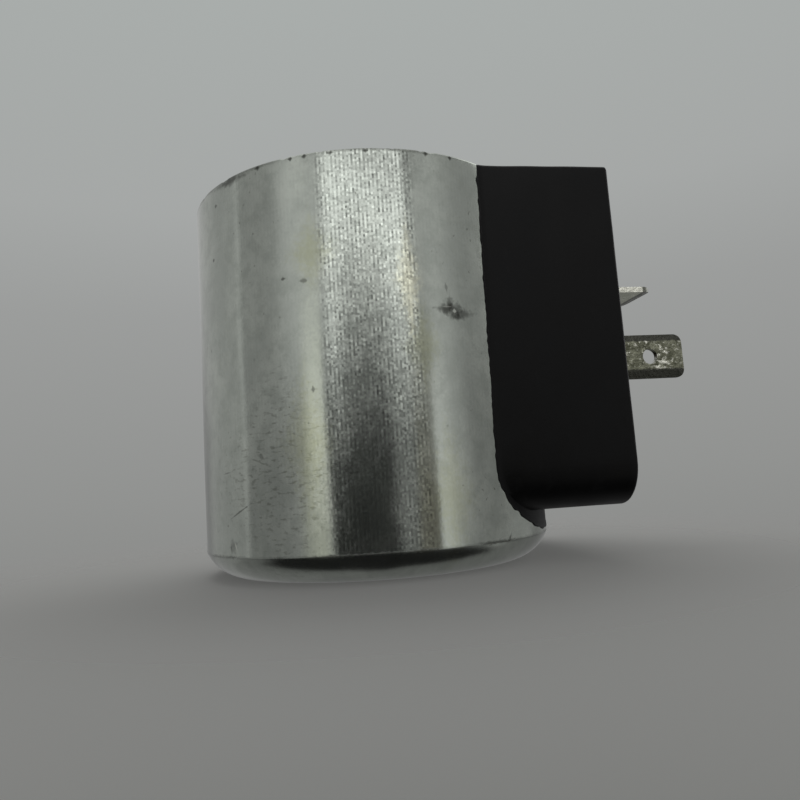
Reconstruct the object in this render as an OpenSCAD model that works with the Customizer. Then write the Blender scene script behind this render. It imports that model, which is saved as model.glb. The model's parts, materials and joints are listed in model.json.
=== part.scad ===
// Solenoid valve coil: a steel shell round a potted winding, with a moulded plug block on one side.
// The bore runs along Z, the valve face lies at z = 0 and the plug faces +X. Sizes are in millimetres.

/* [Shell] */
// Outside diameter of the steel shell
shell_d = 47; // [46:0.5:56]
// Height from the valve face to the rim
coil_h = 50; // [47:0.5:60]
// Thickness of the shell wall
shell_wall = 2; // [1.4:0.1:2.4]
// Thickness of the shell floor at the valve face
floor_t = 3; // [2.4:0.1:4]
// Height of the rounded edge at the valve face
edge_h = 3.4; // [2.6:0.1:4]
// How far the rounded edge draws in at the valve face
edge_inset = 5; // [4.2:0.1:6]
// Diameter of the bore that slides over the armature tube
bore_d = 23; // [18:0.1:25]

/* [Window] */
// Height of the window's lower edge above the valve face
window_z = 4.1; // [4.1:0.1:6]
// Radius of the window's lower corners
window_corner_r = 8; // [5:0.5:12]

/* [End plate] */
// Thickness of the steel end plate inside the rim
plate_t = 4; // [3:0.1:5]

/* [Bobbin] */
// Wall of the bobbin's barrel
barrel_wall = 1.3; // [0.8:0.1:2]
// Thickness of the bobbin's flanges
flange_t = 2; // [1.7:0.1:3]
// Resin between a flange's rim and the shell
flange_cover = 1.5; // [0.8:0.1:2]

/* [Winding] */
// Depth of the taped winding's surface below the flange rims
winding_depth = 1.6; // [1:0.1:3]
// Thickness of the tape round the winding
tape_t = 0.4; // [0.2:0.1:0.8]
// Bare winding above the tape, where the finish lead comes out
tape_stop = 1.4; // [1.2:0.1:3]
// Thickness of the insulator under the start lead
insulator_t = 0.35; // [0.2:0.05:0.6]
// Width of the insulator under the start lead
insulator_w = 4; // [3:0.5:6]

/* [Leads] */
// Diameter of the two lead wires
lead_d = 0.7; // [0.5:0.1:0.9]
// Wall of the sleeves over the leads
sleeve_wall = 0.45; // [0.3:0.05:0.8]
// Diameter of a solder joint
solder_d = 2.2; // [1.8:0.1:2.8]

/* [Plug block] */
// Width of the block and of the window behind it
block_w = 40.5; // [36:0.5:42]
// How far the block stands out past the shell
block_stand = 6.6; // [4:0.1:10]
// Height of the block's lower face above the valve face
block_z = 6.4; // [5:0.1:9]
// How far the block's top lies below the rim
block_drop = 0.1; // [0.1:0.1:2]
// Radius of the block's lower corners
block_corner_r = 5.4; // [2:0.2:8]

/* [Plug seat] */
// Side of the square seat that the plug's gasket presses on
seat_w = 28; // [26:0.5:32]
// How far the seat stands out from the block
seat_h = 2.4; // [1:0.1:6]
// Radius of the seat's corners
seat_corner_r = 3; // [1:0.5:6]
// Height of the plug axis above the valve face
plug_z = 26.5; // [24:0.1:30]

/* [Tabs] */
// Width of a line tab
tab_w = 6.3; // [4.8:0.1:7]
// Width of the earth tab
earth_tab_w = 9.4; // [6:0.1:10]
// Thickness of a tab
tab_t = 0.8; // [0.6:0.1:1]
// Distance between the two line tabs
tab_spacing = 18; // [15:0.5:20]
// Length of a line tab past the seat
line_tab_len = 12; // [8:0.1:14]
// Length of the earth tab past the seat
earth_tab_len = 11.1; // [8:0.1:14]
// Height of the earth tab above the plug axis
earth_rise = 11.15; // [9:0.05:12]
// Diameter of the hole in a tab
tab_hole_d = 2.2; // [1.4:0.1:2.6]
// Distance of the hole from the tab's tip
tab_hole_back = 5.2; // [4:0.1:6]
// Width of the bevel along a line tab's edges and every tip
tab_bevel = 1.1; // [0.6:0.1:1.5]
// Thickness left at a bevelled edge
tab_edge_t = 0.4; // [0.2:0.05:0.5]
// Radius of a line tab's tip corners
tab_tip_r = 1.3; // [0.5:0.1:2]
// Radius of the earth tab's tip corners
earth_tip_r = 1.7; // [0.5:0.1:2.5]
// Height of a line tab's solder ear above the plug axis
ear_h = 7; // [5:0.5:8]
// Width of the solder ear
ear_w = 2.2; // [1.6:0.1:3]

/* [Earth bond] */
// Width of the earth strap
strap_w = 5; // [4:0.5:6]
// Thickness of the earth strap
strap_t = 0.6; // [0.4:0.1:0.8]
// Length of the strap below the earth tab
strap_foot = 1.5; // [1:0.1:3]
// Diameter of the rivet's shank
rivet_d = 3; // [2:0.1:3.5]
// Diameter of the rivet's heads
rivet_head_d = 4.8; // [4:0.1:5.5]
// Height of each rivet head
rivet_head_h = 1; // [0.6:0.1:1.1]
// Distance of the rivet from the shell's inner wall
rivet_back = 3.2; // [3:0.1:5]

/* [Terminal carrier] */
// Thickness of the carrier that holds the tabs
carrier_t = 2.5; // [1.5:0.1:3.5]
// Plastic left round the tabs in the carrier
carrier_edge = 2.2; // [1:0.1:3]

/* [Screw insert] */
// Outside diameter of the brass insert
insert_d = 5; // [4.4:0.1:6]
// Length of the insert
insert_len = 8; // [5:0.5:9]
// Depth of the groove that keys the insert into the resin
insert_groove = 0.5; // [0.2:0.1:0.8]
// Core diameter of the thread for the plug's screw
thread_core_d = 2.5; // [2.05:0.05:3.2]

/* [Fits] */
// Gap round pieces that are slid or pressed together
fit_gap = 0.05; // [0.02:0.01:0.1]
// Resin between buried pieces that must not touch
resin_gap = 0.3; // [0.2:0.05:0.5]

/* [Hidden] */
$fn = 96;
past = 1;
near = -1;
far = 1;

shell_r = shell_d / 2;
inner_r = shell_r - shell_wall;
edge_r = (edge_inset * edge_inset + edge_h * edge_h) / (2 * edge_h);
bore_r = bore_d / 2;
plate_z = coil_h - plate_t;

barrel_r = bore_r + barrel_wall;
flange_r = inner_r - flange_cover;
low_flange_z = floor_t + flange_t;
high_flange_z = plate_z - flange_t;
tape_r = flange_r - winding_depth;
winding_r = tape_r - tape_t;
winding_top = high_flange_z - insulator_t - 2 * fit_gap;
tape_top = winding_top - tape_stop;

block_x = shell_r + block_stand;
block_top = coil_h - block_drop;
seat_x = block_x + seat_h;
line_tip_x = seat_x + line_tab_len;
earth_tip_x = seat_x + earth_tab_len;
earth_z = plug_z + earth_rise;
tab_y = tab_spacing / 2;

strap_x = inner_r + resin_gap;
strap_face = strap_x + strap_t;
carrier_x = strap_face + resin_gap;
ear_x = carrier_x - ear_w;
ear_top = plug_z + ear_h;
rivet_x = inner_r - rivet_back;
notch_x = rivet_x - rivet_head_d / 2 - resin_gap;

lead_r = lead_d / 2;
lead_x = carrier_x - ear_w / 2;
lead_y = tab_y + tab_t / 2 + lead_r + fit_gap;
lead_angle = atan2(lead_y, lead_x);
lead_reach = norm([lead_x, lead_y]);
solder_z = ear_top - solder_d / 2;
lead_foot = ear_top - solder_d - resin_gap;
groove_h = lead_d + 2 * fit_gap;
start_z = high_flange_z + groove_h / 2;
start_dip = barrel_r + lead_d;
finish_z = winding_top - tape_stop / 2;
sleeve_r = lead_r + fit_gap + sleeve_wall;
sleeve_foot = ear_top + resin_gap;

// Solid ring about the Z axis
module ring(outer, inner, low, high) {
    translate([0, 0, low])
        difference() {
            cylinder(h = high - low, r = outer);
            translate([0, 0, -past])
                cylinder(h = high - low + 2 * past, r = inner);
        }
}

// Upright outline with rounded lower corners, drawn across Y and up Z
module upright_outline(width, low, high, corner) {
    translate([-width / 2, low + corner])
        square([width, high - low - corner]);
    translate([-width / 2 + corner, low])
        square([width - 2 * corner, high - low]);
    for (side = [near, far])
        translate([side * (width / 2 - corner), low + corner])
            circle(r = corner);
}

// An outline in Y and Z carried along X
module along_x(from, to) {
    translate([from, 0, 0])
        rotate([90, 0, 90])
            linear_extrude(to - from)
                children();
}

// Space of the window, wider than the resin by the gap given
module window_space(gap, top) {
    along_x(0, block_x)
        upright_outline(block_w + 2 * gap, window_z - gap, top, window_corner_r + gap);
}

// Outer profile of the shell: a straight wall over a rounded edge that meets it in a soft ridge
module shell_profile() {
    square([shell_r - edge_inset, coil_h]);
    translate([0, edge_h])
        square([shell_r, coil_h - edge_h]);
    intersection() {
        translate([shell_r - edge_inset, edge_r])
            circle(r = edge_r);
        square([shell_r, edge_h]);
    }
}

module shell() {
    color([0.60, 0.62, 0.58])
        difference() {
            rotate_extrude()
                shell_profile();
            translate([0, 0, floor_t])
                cylinder(h = coil_h, r = inner_r);
            translate([0, 0, -past])
                cylinder(h = coil_h, r = bore_r);
            window_space(fit_gap, coil_h + past);
        }
}

// Rivet with a flat head under the strap and a countersunk head flush with the plate
module earth_rivet() {
    color([0.70, 0.70, 0.68])
        translate([rivet_x, 0, 0]) {
            translate([0, 0, plate_z - strap_t - rivet_head_h])
                cylinder(h = rivet_head_h, d = rivet_head_d);
            translate([0, 0, plate_z - strap_t - rivet_head_h])
                cylinder(h = plate_t + strap_t + rivet_head_h, d = rivet_d);
            translate([0, 0, coil_h - rivet_head_h])
                cylinder(h = rivet_head_h, d1 = rivet_d, d2 = rivet_head_d);
        }
}

module end_plate() {
    color([0.66, 0.67, 0.64])
        difference() {
            ring(inner_r - fit_gap, bore_r, plate_z, coil_h);
            earth_rivet();
        }
}

// The start lead's groove runs across the upper flange, and a notch there clears the earth rivet
module bobbin() {
    color([0.16, 0.17, 0.18])
        difference() {
            union() {
                ring(barrel_r, bore_r, floor_t, plate_z);
                ring(flange_r, bore_r, floor_t, low_flange_z);
                ring(flange_r, bore_r, high_flange_z, plate_z);
            }
            rotate([0, 0, near * lead_angle])
                translate([barrel_r, -groove_h / 2, high_flange_z - fit_gap])
                    cube([flange_r, groove_h, groove_h + fit_gap]);
            translate([notch_x, -strap_w / 2 - fit_gap, high_flange_z - past])
                cube([flange_r, strap_w + 2 * fit_gap, flange_t + 2 * past]);
        }
}

module winding() {
    color([0.72, 0.40, 0.20])
        ring(winding_r, barrel_r + fit_gap, low_flange_z + fit_gap, winding_top);
}

module winding_tape() {
    color([0.86, 0.70, 0.24])
        ring(tape_r, winding_r + fit_gap, low_flange_z + fit_gap, tape_top);
}

// Lies on the winding under the start lead, from past the lead's dip to the winding's rim
module crossover_insulator() {
    color([0.85, 0.80, 0.66])
        rotate([0, 0, near * lead_angle])
            translate([start_dip + lead_d, -insulator_w / 2, winding_top + fit_gap])
                cube([winding_r - start_dip - 2 * lead_d, insulator_w, insulator_t]);
}

// A lead runs out along a radius and then down to its tab's ear
module lead(side, from, height) {
    rotate([0, 0, side * lead_angle]) {
        translate([from, 0, height])
            rotate([0, 90, 0])
                cylinder(h = lead_reach - from, r = lead_r);
        translate([lead_reach, 0, height])
            sphere(r = lead_r);
        translate([lead_reach, 0, lead_foot])
            cylinder(h = height - lead_foot, r = lead_r);
    }
}

// Its inner end dips to the first layer of the winding
module start_lead() {
    color([0.78, 0.45, 0.24]) {
        lead(near, start_dip, start_z);
        rotate([0, 0, near * lead_angle]) {
            translate([start_dip, 0, start_z])
                sphere(r = lead_r);
            translate([start_dip, 0, winding_top + fit_gap])
                cylinder(h = start_z - winding_top - fit_gap, r = lead_r);
        }
    }
}

module finish_lead() {
    color([0.78, 0.45, 0.24])
        lead(far, winding_r + fit_gap, finish_z);
}

module sleeve(side, height, inner) {
    rotate([0, 0, side * lead_angle])
        translate([lead_reach, 0, 0])
            ring(sleeve_r, inner, sleeve_foot, height - sleeve_r);
}

module start_sleeve() {
    color([0.75, 0.14, 0.12])
        sleeve(near, start_z, lead_r + fit_gap);
}

module finish_sleeve() {
    color([0.75, 0.14, 0.12])
        sleeve(far, finish_z, lead_r + fit_gap);
}

// A dome of solder on the ear's outer face, round the end of the lead
module solder_dome(side) {
    difference() {
        translate([lead_x, side * lead_y, solder_z])
            sphere(d = solder_d);
        translate([ear_x - solder_d, side * tab_y - tab_t / 2, solder_z - solder_d])
            cube([ear_w + 2 * solder_d, tab_t, 2 * solder_d]);
        translate([ear_x - solder_d, side * (tab_y - solder_d / 2) - solder_d / 2, solder_z - solder_d])
            cube([ear_w + 2 * solder_d, solder_d, 2 * solder_d]);
    }
}

module solder_joints() {
    color([0.76, 0.77, 0.78])
        difference() {
            for (side = [near, far])
                solder_dome(side);
            start_lead();
            finish_lead();
        }
}

// Half of a bevelled edge: full thickness, drawn in to the edge thickness over the bevel
function bevelled(reach) = [[reach - tab_bevel, tab_t / 2], [reach, tab_edge_t / 2], [reach, -tab_edge_t / 2],
    [reach - tab_bevel, -tab_t / 2]];

// Half of a plain edge
function plain(reach) = [[reach, tab_t / 2], [reach, -tab_t / 2]];

// Flat tab along X, with its width across Y, a bevelled tip and a hole; side is half of its section
module tab_blade(from, tip, width, tip_r, side) {
    difference() {
        intersection() {
            along_x(from, tip)
                polygon(concat(side, [for (p = side) -p]));
            rotate([90, 0, 0])
                translate([0, 0, -width / 2 - past])
                    linear_extrude(width + 2 * past)
                        polygon(concat(bevelled(tip), [[from, -tab_t / 2], [from, tab_t / 2]]));
            translate([0, 0, -tab_t])
                linear_extrude(2 * tab_t)
                    tab_plan(from, tip, width, tip_r);
        }
        translate([tip - tab_hole_back, 0, -tab_t])
            cylinder(h = 2 * tab_t, d = tab_hole_d);
    }
}

module tab_plan(from, tip, width, tip_r) {
    translate([from, -width / 2])
        square([tip - tip_r - from, width]);
    translate([from, tip_r - width / 2])
        square([tip - from, width - 2 * tip_r]);
    for (side = [near, far])
        translate([tip - tip_r, side * (width / 2 - tip_r)])
            circle(r = tip_r);
}

// A line tab stands on edge and has a solder ear behind the carrier
module line_tab(side) {
    color([0.56, 0.56, 0.47])
        translate([0, side * tab_y, 0]) {
            translate([0, 0, plug_z])
                rotate([90, 0, 0])
                    tab_blade(ear_x, line_tip_x, tab_w, tab_tip_r, bevelled(tab_w / 2));
            translate([ear_x, -tab_t / 2, plug_z])
                cube([ear_w, tab_t, ear_h]);
        }
}

module line_tab_near() {
    line_tab(near);
}

module line_tab_far() {
    line_tab(far);
}

module earth_tab() {
    color([0.62, 0.62, 0.54])
        translate([0, 0, earth_z])
            tab_blade(strap_face, earth_tip_x, earth_tab_w, earth_tip_r, plain(earth_tab_w / 2));
}

// Bracket from behind the earth tab up to the underside of the end plate
module earth_strap() {
    color([0.66, 0.66, 0.58])
        difference() {
            union() {
                translate([strap_x, -strap_w / 2, earth_z - strap_foot])
                    cube([strap_t, strap_w, plate_z - earth_z + strap_foot]);
                translate([notch_x, -strap_w / 2, plate_z - strap_t])
                    cube([strap_face - notch_x, strap_w, strap_t]);
            }
            earth_rivet();
        }
}

module carrier_body() {
    half_w = tab_y + tab_t / 2 + carrier_edge;
    low = plug_z - tab_w / 2 - carrier_edge;
    high = earth_z + tab_t / 2 + carrier_edge;
    translate([carrier_x, -half_w, low])
        cube([carrier_t, 2 * half_w, high - low]);
}

module terminal_carrier() {
    color([0.20, 0.21, 0.22])
        difference() {
            carrier_body();
            line_tab_near();
            line_tab_far();
            earth_tab();
            insert_body();
        }
}

// The insert without its thread: two collars with a groove between them, its mouth at the seat
module insert_body() {
    collar = insert_len / 3;
    translate([seat_x, 0, plug_z])
        rotate([0, -90, 0]) {
            cylinder(h = insert_len, d = insert_d - 2 * insert_groove);
            cylinder(h = collar, d = insert_d);
            translate([0, 0, insert_len - collar])
                cylinder(h = collar, d = insert_d);
        }
}

module screw_insert() {
    color([0.80, 0.65, 0.34])
        difference() {
            insert_body();
            translate([seat_x + past, 0, plug_z])
                rotate([0, -90, 0])
                    cylinder(h = insert_len + 2 * past, d = thread_core_d);
        }
}

// Outline of the square plug seat across Y and Z
module seat_outline() {
    half = seat_w / 2;
    translate([0, plug_z]) {
        square([seat_w - 2 * seat_corner_r, seat_w], center = true);
        square([seat_w, seat_w - 2 * seat_corner_r], center = true);
        for (side = [near, far], level = [near, far])
            translate([side * (half - seat_corner_r), level * (half - seat_corner_r)])
                circle(r = seat_corner_r);
    }
}

// Space taken by the bobbin and the taped winding
module spool_space() {
    cylinder(h = plate_z + fit_gap, r = tape_r + fit_gap);
    translate([0, 0, floor_t - past])
        cylinder(h = flange_t + past + fit_gap, r = flange_r + fit_gap);
    translate([0, 0, high_flange_z - fit_gap])
        cylinder(h = flange_t + past, r = flange_r + fit_gap);
}

// The shell's wall where the window leaves it standing
module wall_round_window() {
    difference() {
        ring(shell_r, inner_r, 0, coil_h);
        window_space(fit_gap, coil_h + past);
    }
}

// Resin round the spool, through the window and out to the block and the plug seat
module moulding_body() {
    translate([0, 0, floor_t])
        cylinder(h = plate_z - floor_t, r = inner_r - fit_gap);
    intersection() {
        cylinder(h = coil_h, r = shell_r);
        window_space(0, block_top);
    }
    along_x(0, block_x)
        upright_outline(block_w, block_z, block_top, block_corner_r);
    along_x(shell_r, seat_x)
        seat_outline();
}

module moulding() {
    color([0.09, 0.095, 0.10])
        difference() {
            moulding_body();
            wall_round_window();
            spool_space();
            translate([0, 0, plate_z])
                cylinder(h = coil_h, r = inner_r);
            start_lead();
            finish_lead();
            sleeve(near, start_z, 0);
            sleeve(far, finish_z, 0);
            solder_dome(near);
            solder_dome(far);
            line_tab_near();
            line_tab_far();
            earth_tab();
            earth_strap();
            earth_rivet();
            carrier_body();
            insert_body();
        }
}

shell();
end_plate();
bobbin();
winding();
winding_tape();
crossover_insulator();
start_lead();
finish_lead();
start_sleeve();
finish_sleeve();
solder_joints();
line_tab_near();
line_tab_far();
earth_tab();
earth_strap();
earth_rivet();
terminal_carrier();
screw_insert();
moulding();
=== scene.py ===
# Solenoid valve coil: a zinc plated shell with a black plug block, dressed and lit on a grey table
import json
import math
import bmesh
import bpy
import numpy as np
from mathutils import Matrix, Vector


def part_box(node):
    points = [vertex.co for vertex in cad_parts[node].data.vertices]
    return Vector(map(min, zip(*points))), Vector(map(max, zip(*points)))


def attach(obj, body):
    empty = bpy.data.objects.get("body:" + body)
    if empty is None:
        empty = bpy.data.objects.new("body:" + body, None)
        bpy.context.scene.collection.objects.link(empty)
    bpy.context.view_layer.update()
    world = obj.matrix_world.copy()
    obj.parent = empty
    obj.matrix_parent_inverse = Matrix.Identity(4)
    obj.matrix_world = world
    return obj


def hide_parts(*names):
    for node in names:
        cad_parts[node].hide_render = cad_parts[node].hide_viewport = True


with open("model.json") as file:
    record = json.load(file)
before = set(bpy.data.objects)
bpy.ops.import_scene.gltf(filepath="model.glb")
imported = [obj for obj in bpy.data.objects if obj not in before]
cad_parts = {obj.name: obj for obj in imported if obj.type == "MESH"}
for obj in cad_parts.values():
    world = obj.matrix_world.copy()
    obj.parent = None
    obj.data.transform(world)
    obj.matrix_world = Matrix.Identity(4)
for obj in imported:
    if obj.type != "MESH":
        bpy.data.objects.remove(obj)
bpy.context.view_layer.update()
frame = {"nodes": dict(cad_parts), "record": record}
nodes = frame["nodes"]
mounts = {m["name"]: m for m in frame["record"]["mounts"]}
mm = 0.001
print("frame loaded:", len(nodes), "nodes")

# Sizes that the frame gives, in millimetres
shellTop = np.array(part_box("shell")[1]) / mm
plateLow, plateTop = (np.array(corner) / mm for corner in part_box("end_plate"))
rivetLow, rivetTop = (np.array(corner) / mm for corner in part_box("earth_rivet"))
resinTop = np.array(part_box("moulding")[1]) / mm
insertLow, insertHigh = (np.array(corner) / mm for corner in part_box("screw_insert"))
boreRadius = mounts["armature_bore"]["dims"]["r_mm"]
plugHeight = mounts["plug_screw"]["pos_m"][2] / mm
threadCore = mounts["plug_screw"]["dims"]["r_mm"]
fitGap = 0.05

# The plug block's sides: half width at the foot, and how far they lean in up to the top
block = dict(half=20.25, low=6.4, top=resinTop[2], draft=0.4)


def drafted(z):
    # share of the half width left at a height
    return 1 - block["draft"] / block["half"] * (z - block["low"]) / (block["top"] - block["low"])


# Camera: stood just above the table and tipped up a little, as the photograph was taken
camera = dict(place=(-13.029, -99.263, 11.081), turn=-9.952, tilt=6.711, roll=-3.708, lens=31.121,
              sensor=36.0, clip=(0.005, 10.0))


def placeCamera(plan):
    data = bpy.data.cameras.new("camera")
    data.lens = plan["lens"]
    data.sensor_width = plan["sensor"]
    data.clip_start, data.clip_end = plan["clip"]
    eye = bpy.data.objects.new("camera", data)
    bpy.context.scene.collection.objects.link(eye)
    aim = Matrix.Rotation(math.radians(plan["turn"]), 4, "Z")
    aim = aim @ Matrix.Rotation(math.radians(90 + plan["tilt"]), 4, "X")
    aim = aim @ Matrix.Rotation(math.radians(plan["roll"]), 4, "Z")
    eye.matrix_world = Matrix.Translation([v * mm for v in plan["place"]]) @ aim
    bpy.context.scene.camera = eye


placeCamera(camera)
bpy.context.scene.view_settings.view_transform = "Standard"
print("camera placed")

# Mesh helpers; points closer than the weld are joined
weld = 0.002


def gridQuads(rows, cols, closeRows=False, closeCols=False, first=0):
    # quads between neighbouring points of a grid held by rows; a closed way joins its last line to its first
    r = np.arange(rows if closeRows else rows - 1)
    c = np.arange(cols if closeCols else cols - 1)
    r, c = np.meshgrid(r, c, indexing="ij")
    below = (r + 1) % rows
    beside = (c + 1) % cols
    quads = np.stack([r * cols + c, r * cols + beside, below * cols + beside, below * cols + c], -1)
    return quads.reshape(-1, 4) + first


def fanTris(ring, centre):
    # triangles from a closed ring of points to one centre point
    return np.stack([ring, np.roll(ring, -1), np.full(len(ring), centre)], -1)


def roundAxis(reach, angle, height):
    # points at a distance from an upright axis, at an angle about it and at a height
    return np.stack([reach * np.cos(angle), reach * np.sin(angle), height], -1)


def makePiece(name, points, faces, skin=None, sharp=35.0):
    # points in millimetres become a closed, welded mesh whose faces look outwards
    mesh = bpy.data.meshes.new(name)
    mesh.from_pydata((np.asarray(points) * mm).tolist(), [], [f for part in faces for f in part.tolist()])
    if skin is not None:
        corners = np.empty(len(mesh.loops), int)
        mesh.loops.foreach_get("vertex_index", corners)
        layer = mesh.uv_layers.new(name="skin")
        layer.uv.foreach_set("vector", np.asarray(skin, np.float32)[corners].ravel())
    work = bmesh.new()
    work.from_mesh(mesh)
    bmesh.ops.remove_doubles(work, verts=work.verts, dist=weld * mm)
    bmesh.ops.recalc_face_normals(work, faces=work.faces)
    work.to_mesh(mesh)
    work.free()
    mesh.shade_smooth()
    mesh.set_sharp_from_angle(angle=math.radians(sharp))
    piece = bpy.data.objects.new(name, mesh)
    bpy.context.scene.collection.objects.link(piece)
    return piece


def cappedPiece(name, rings, sharp=35.0):
    # closed rings of points, one joined to the next, with a fan over the first and a fan over the last
    rows, cols = rings.shape[:2]
    points = np.vstack([rings.reshape(-1, 3), rings[0].mean(0)[None], rings[-1].mean(0)[None]])
    faces = [gridQuads(rows, cols, closeCols=True), fanTris(np.arange(cols)[::-1], rows * cols),
             fanTris(np.arange(cols) + (rows - 1) * cols, rows * cols + 1)]
    return makePiece(name, points, faces, sharp=sharp)


def waves(seed, count, lengths, *axes):
    # sum of plane waves with seeded directions and phases, about -1 to 1, over any number of axes in mm
    draw = np.random.default_rng(seed)
    total = 0.0
    for _ in range(count):
        way = draw.normal(size=len(axes))
        way *= 2 * np.pi / draw.uniform(*lengths) / np.linalg.norm(way)
        total = total + np.sin(sum(w * a for w, a in zip(way, axes)) + draw.uniform(0, 2 * np.pi))
    return total / math.sqrt(count)


# Node helpers
def add(tree, kind, out=0, props=None, **inputs):
    # one shader node; an input is a value or a socket, named with _ for a space or i0, i1 for its place
    made = tree.nodes.new("ShaderNode" + kind)
    for key, value in (props or {}).items():
        setattr(made, key, value)
    for key, value in inputs.items():
        numbered = key[0] == "i" and key[1:].isdigit()
        socket = made.inputs[int(key[1:])] if numbered else made.inputs[key.replace("_", " ")]
        if isinstance(value, bpy.types.NodeSocket):
            tree.links.new(value, socket)
        else:
            socket.default_value = value
    return made.outputs[out]


def calc(tree, kind, a, b=0.0):
    return add(tree, "Math", props=dict(operation=kind), i0=a, i1=b)


def plus(tree, a, b):
    return calc(tree, "ADD", a, b)


def less(tree, a, b):
    return calc(tree, "SUBTRACT", a, b)


def times(tree, a, b):
    return calc(tree, "MULTIPLY", a, b)


def vec(tree, kind, a, out=0, **more):
    return add(tree, "VectorMath", out=out, props=dict(operation=kind), i0=a, **more)


def split(tree, coords):
    return add(tree, "SeparateXYZ", Vector=coords).node.outputs


def spun(tree, coords, angle):
    return add(tree, "VectorRotate", props=dict(rotation_type="Z_AXIS"), Vector=coords,
               Angle=math.radians(angle))


def fade(tree, value, low, high, atLow=0.0, atHigh=1.0):
    # smooth step of a value from low to high
    return add(tree, "MapRange", props=dict(interpolation_type="SMOOTHSTEP"),
               Value=value, i1=low, i2=high, i3=atLow, i4=atHigh)


def blendColour(tree, share, under, over):
    return add(tree, "Mix", out=2, props=dict(data_type="RGBA"), i0=share, i6=under, i7=over)


def stretched(tree, coords, scale, place=(0, 0, 0), turn=0.0):
    return add(tree, "Mapping", Vector=coords, Scale=scale, Location=place,
               Rotation=(0, 0, math.radians(turn)))


def grain(tree, coords, scale, detail=2.0, roughness=0.5):
    return add(tree, "TexNoise", Vector=coords, Scale=scale, Detail=detail, Roughness=roughness)


def bands(tree, coords, way, scale, distortion):
    return add(tree, "TexWave", out=1, props=dict(bands_direction=way), Vector=coords, Scale=scale,
               Distortion=distortion)


def bumped(tree, height, depth, **more):
    # normals of a surface raised by a height of nought to one times a depth in millimetres
    return add(tree, "Bump", Strength=1.0, Distance=depth * mm, Height=height, **more)


def finish(name, coords="object", **values):
    # a new material: its tree, its coordinates and its main shader
    made = bpy.data.materials.new(name)
    made.use_nodes = True
    tree = made.node_tree
    shader = tree.nodes["Principled BSDF"]
    for key, value in values.items():
        shader.inputs[key.replace("_", " ")].default_value = value
    if coords == "skin":
        place = add(tree, "UVMap", props=dict(uv_map="skin"))
    else:
        place = stretched(tree, add(tree, "TexCoord", out=3), (1 / mm,) * 3)
    return made, tree, place, shader


def wire(tree, shader, **sockets):
    for key, socket in sockets.items():
        tree.links.new(socket, shader.inputs[key.replace("_", " ")])


# Stage: table, light and backdrop
stage = dict(
    tableRadius=120.0, tableRings=24, tableAround=96, tableGrowth=1.3, tableSolid=34.0, tableClear=100.0,
    tableColour=(0.15, 0.151, 0.146, 1), tableGlow=(0.195, 0.197, 0.19, 1), glowShare=0.46,
    lampPlace=(45, 230, 330), lampSize=420, lampPower=3.2, facing=-97.5, wallLevel=0.5,
    backdrop=((-60, (0.15, 0.152, 0.147)), (-24, (0.195, 0.198, 0.19)), (-8, (0.25, 0.253, 0.246)),
              (0, (0.285, 0.29, 0.283)), (14, (0.33, 0.337, 0.332)), (22, (0.378, 0.39, 0.384)),
              (40, (0.40, 0.425, 0.414))))

# Soft panels and dark screens round the table, each laid over those before it: bearings from the camera's
# side, softness of both ends, heights above the horizon, softness of foot and head, level, tint if not grey
panels = [
    ((-190, 190), (1, 1), (-95, 4), (1, 16), 0.42),  # low wall
    ((-190, -138), (1, 22), (-95, 10), (1, 20), 0.26),  # left end
    ((118, 190), (22, 1), (-95, 10), (1, 20), 0.26),  # right end
    ((-190, 190), (1, 1), (-95, -11), (1, 12), 0.2),  # floor
    ((-162, -122), (16, 8), (-75, -11), (12, 12), 0.24),  # left floor
    ((-92, -88), (1, 1), (-20, 60), (10, 20), 0.66),  # left line
    ((-88, -56), (2, 30), (-95, 45), (1, 30), 0.4),  # left shade
    ((-90, -48), (8, 20), (-20, 5), (10, 12), 0.28),  # left shade low
    ((-54, -22), (26, 6), (6, 60), (12, 30), 0.76),  # left glow
    ((-41, -29), (11, 3), (-1, 13), (10, 12), 1.2, (1, 1, 0.92)),  # left strip
    ((-45, -31), (12, 6), (-25, 0), (14, 8), 0.53, (1, 1, 0.88)),  # left strip low
    ((34, 56), (4, 26), (-95, 60), (1, 30), 0.64),  # right glow
    ((66, 100), (20, 20), (-95, 45), (1, 30), 0.43),  # right shade
    ((64, 100), (16, 20), (-20, 10), (10, 12), 0.29),  # right shade low
    ((94, 128), (8, 10), (6, 60), (8, 30), 2.0),  # plug lamp
    ((-164, -98), (14, 10), (-29, -15), (5, 5), 0.3),  # back table
    ((-122, -106), (6, 8), (-23, -13), (5, 5), 0.6),  # back strip
    ((40, 50), (3, 12), (-20, 6), (10, 12), 0.86),  # right strip
    ((-23.5, 29.6), (3, 3), (16, 75), (13, 20), 1.62),  # front lamp
    ((18, 34), (10, 3), (12, 18), (8, 6), 1.2),  # lamp corner
    ((-25, -17), (3, 6), (7, 20), (6, 8), 1.2),  # lamp edge
    ((-28, 40), (3, 3), (-79, 7), (3, 14), 0.19),  # grey screen
    ((27, 40), (4, 3), (-79, 7), (3, 14), 0.2, (1, 0.94, 0.8)),  # warm screen
    ((-14, 11), (12, 14), (-79, 18), (3, 10), 0.3),  # lamp foot
    ((-27, 14), (7, 8), (-79, 8), (3, 10), 0.018),  # dark screen
    ((-104, 106), (14, 14), (-95, -40), (1, 12), 0.018),  # low screen
    ((-88, -40), (8, 14), (-95, -28), (1, 8), 0.018),  # low screen left
    ((-190, 190), (1, 1), (-95, -82), (1, 10), 0.018),  # under screen
    ((-190, 190), (1, 1), (60, 100), (30, 1), 1.2),  # overhead
]


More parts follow.
